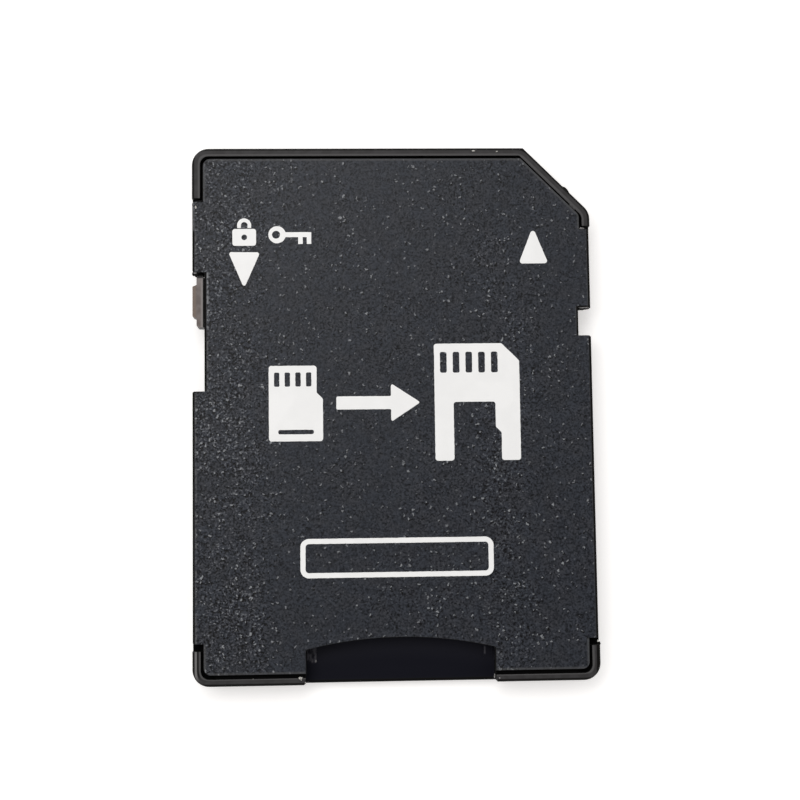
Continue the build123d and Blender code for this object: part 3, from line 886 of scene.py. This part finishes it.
def label_box():
    """Outlines of the empty box to write in."""
    inset = label_stroke
    outer = rectangle(label_left, label_right, label_low, label_high, label_rounding)
    inner = rectangle(
        label_left + inset,
        label_right - inset,
        label_low + inset,
        label_high - inset,
        label_rounding - inset,
    )
    return [outer, inner]


def print_marks():
    """All of the print on the cover."""
    noise.seed_set(ink_seed)
    white = screen_ink()
    ink("ink_lock_arrow", [rounded(lock_arrow, lock_arrow_rounding)], white)
    ink("ink_lock_sign", padlock() + key(), white)
    ink("ink_insert_arrow", [rounded(insert_arrow, insert_arrow_rounding)], white)
    ink("ink_card_sign", small_card_sign() + [arrow_sign()] + large_card_sign(), white)
    ink("ink_label_box", label_box(), white)


def burr_plastic_with_glint(name, dull, pale):
    """The finish of torn and scraped burrs: pale stretched plastic, its paleness partly a painted glint."""
    make = Shading(name)
    patch = make.ramp(make.noise(0.06), 0.35, 0.65)
    colour = make.tint(patch, opaque(*dull), opaque(*pale))
    return make.finish(colour, 0.3, make.relief(make.noise(0.04), 0.004), Specular_IOR_Level=0.5)


def burr(shape, place, reach, squash):
    """Add one rounded, uneven speck to a shape."""
    made = bmesh.ops.create_icosphere(shape, subdivisions=3, radius=1.0)
    for vert in made["verts"]:
        swell = 1.0 + burr_waver * noise.noise(vert.co * burr_wave + Vector(place))
        parts = [at + along * reach * swell * part for at, along, part in zip(place, vert.co, squash)]
        vert.co = Vector(parts) * mm


def burrs(name, places, material):
    """A piece made of small burrs where the rim, the flanges and the seam end."""
    shape = bmesh.new()
    for place, reach, squash in places:
        burr(shape, place, reach, squash)
    return piece(name, shape, material, "housing")


def floor_paper():
    """The floor's finish: matt, with a glow of its own that only the view sees, and no light falls from."""
    make = Shading("floor_paper")
    path = make.node("ShaderNodeLightPath").outputs
    seen = make.maths("ADD", path["Is Camera Ray"], path["Is Glossy Ray"])
    seen = make.maths("ADD", seen, path["Is Transmission Ray"])
    make.tree.links.new(make.maths("MULTIPLY", seen, floor_glow), make.shader.inputs["Emission Strength"])
    return make.finish(
        opaque(*floor_tone),
        0.9,
        Specular_IOR_Level=0.0,
        Emission_Color=opaque(*floor_glow_tone),
    )


def floor():
    """A plain pale floor."""
    shape = bmesh.new()
    half = floor_size / 2 * mm
    square = ((-half, -half), (half, -half), (half, half), (-half, half))
    shape.faces.new([shape.verts.new((x, y, 0.0)) for x, y in square])
    mesh = bpy.data.meshes.new("floor")
    shape.to_mesh(mesh)
    shape.free()
    mesh.materials.append(floor_paper())
    made = bpy.data.objects.new("floor", mesh)
    bpy.context.scene.collection.objects.link(made)


def direction(rise, turn):
    """The direction at a height above the horizon and a bearing from +X, both in degrees."""
    height = math.radians(rise)
    bearing = math.radians(turn)
    flat = math.cos(height)
    return Vector((flat * math.cos(bearing), flat * math.sin(bearing), math.sin(height)))


def sky():
    """Soft light from all sides, dim only round one direction, where the photographer stood."""
    world = bpy.data.worlds.new("studio")
    world.use_nodes = True
    tree = world.node_tree
    place = tree.nodes.new("ShaderNodeTexCoord")
    facing = tree.nodes.new("ShaderNodeVectorMath")
    facing.operation = "DOT_PRODUCT"
    facing.inputs[1].default_value = direction(dark_rise, dark_turn)
    fade = tree.nodes.new("ShaderNodeMapRange")
    fade.interpolation_type = "SMOOTHSTEP"
    fade.inputs["From Min"].default_value = math.cos(math.radians(dark_outer))
    fade.inputs["From Max"].default_value = math.cos(math.radians(dark_inner))
    fade.inputs["To Min"].default_value = sky_strength
    fade.inputs["To Max"].default_value = dark_strength
    background = tree.nodes["Background"]
    background.inputs["Color"].default_value = opaque(*sky_tone)
    tree.links.new(place.outputs["Generated"], facing.inputs[0])
    tree.links.new(facing.outputs["Value"], fade.inputs["Value"])
    tree.links.new(fade.outputs["Result"], background.inputs["Strength"])
    bpy.context.scene.world = world


def key_lamp():
    """A wide soft lamp past the upper left corner, near enough to fall off across the card."""
    lamp = bpy.data.lights.new("key_lamp", "AREA")
    lamp.energy = key_power
    lamp.shape = "RECTANGLE"
    lamp.size = key_width * mm
    lamp.size_y = key_depth * mm
    lamp.color = key_tone
    made = bpy.data.objects.new("key_lamp", lamp)
    made.location = Vector(key_place) * mm
    made.rotation_euler = made.location.to_track_quat("Z", "Y").to_euler()
    bpy.context.scene.collection.objects.link(made)


def camera():
    """The camera at the photograph's place."""
    lens = bpy.data.cameras.new("camera")
    lens.lens = camera_lens
    lens.sensor_width = sensor_width
    lens.clip_start = nearest_seen * mm
    lens.clip_end = farthest_seen * mm
    made = bpy.data.objects.new("camera", lens)
    made.location = Vector(camera_place) * mm
    made.rotation_euler = [math.radians(angle) for angle in camera_turn]
    bpy.context.scene.collection.objects.link(made)
    bpy.context.scene.camera = made


plastics = dress_nodes()
print_marks()
torn = burr_plastic_with_glint("torn_plastic_glint", *torn_glint_tones)
pale_sheen = burr_plastic_with_glint("scraped_plastic_glint", *scraped_glint_tones)
burrs("burrs_torn", torn_burrs, torn)
burrs("burrs_scraped", scraped_burrs, pale_sheen)
burrs("burrs_run_out", run_out_burrs, plastics["shell"])
floor()
sky()
key_lamp()
camera()
bpy.context.scene.view_settings.view_transform = "Standard"
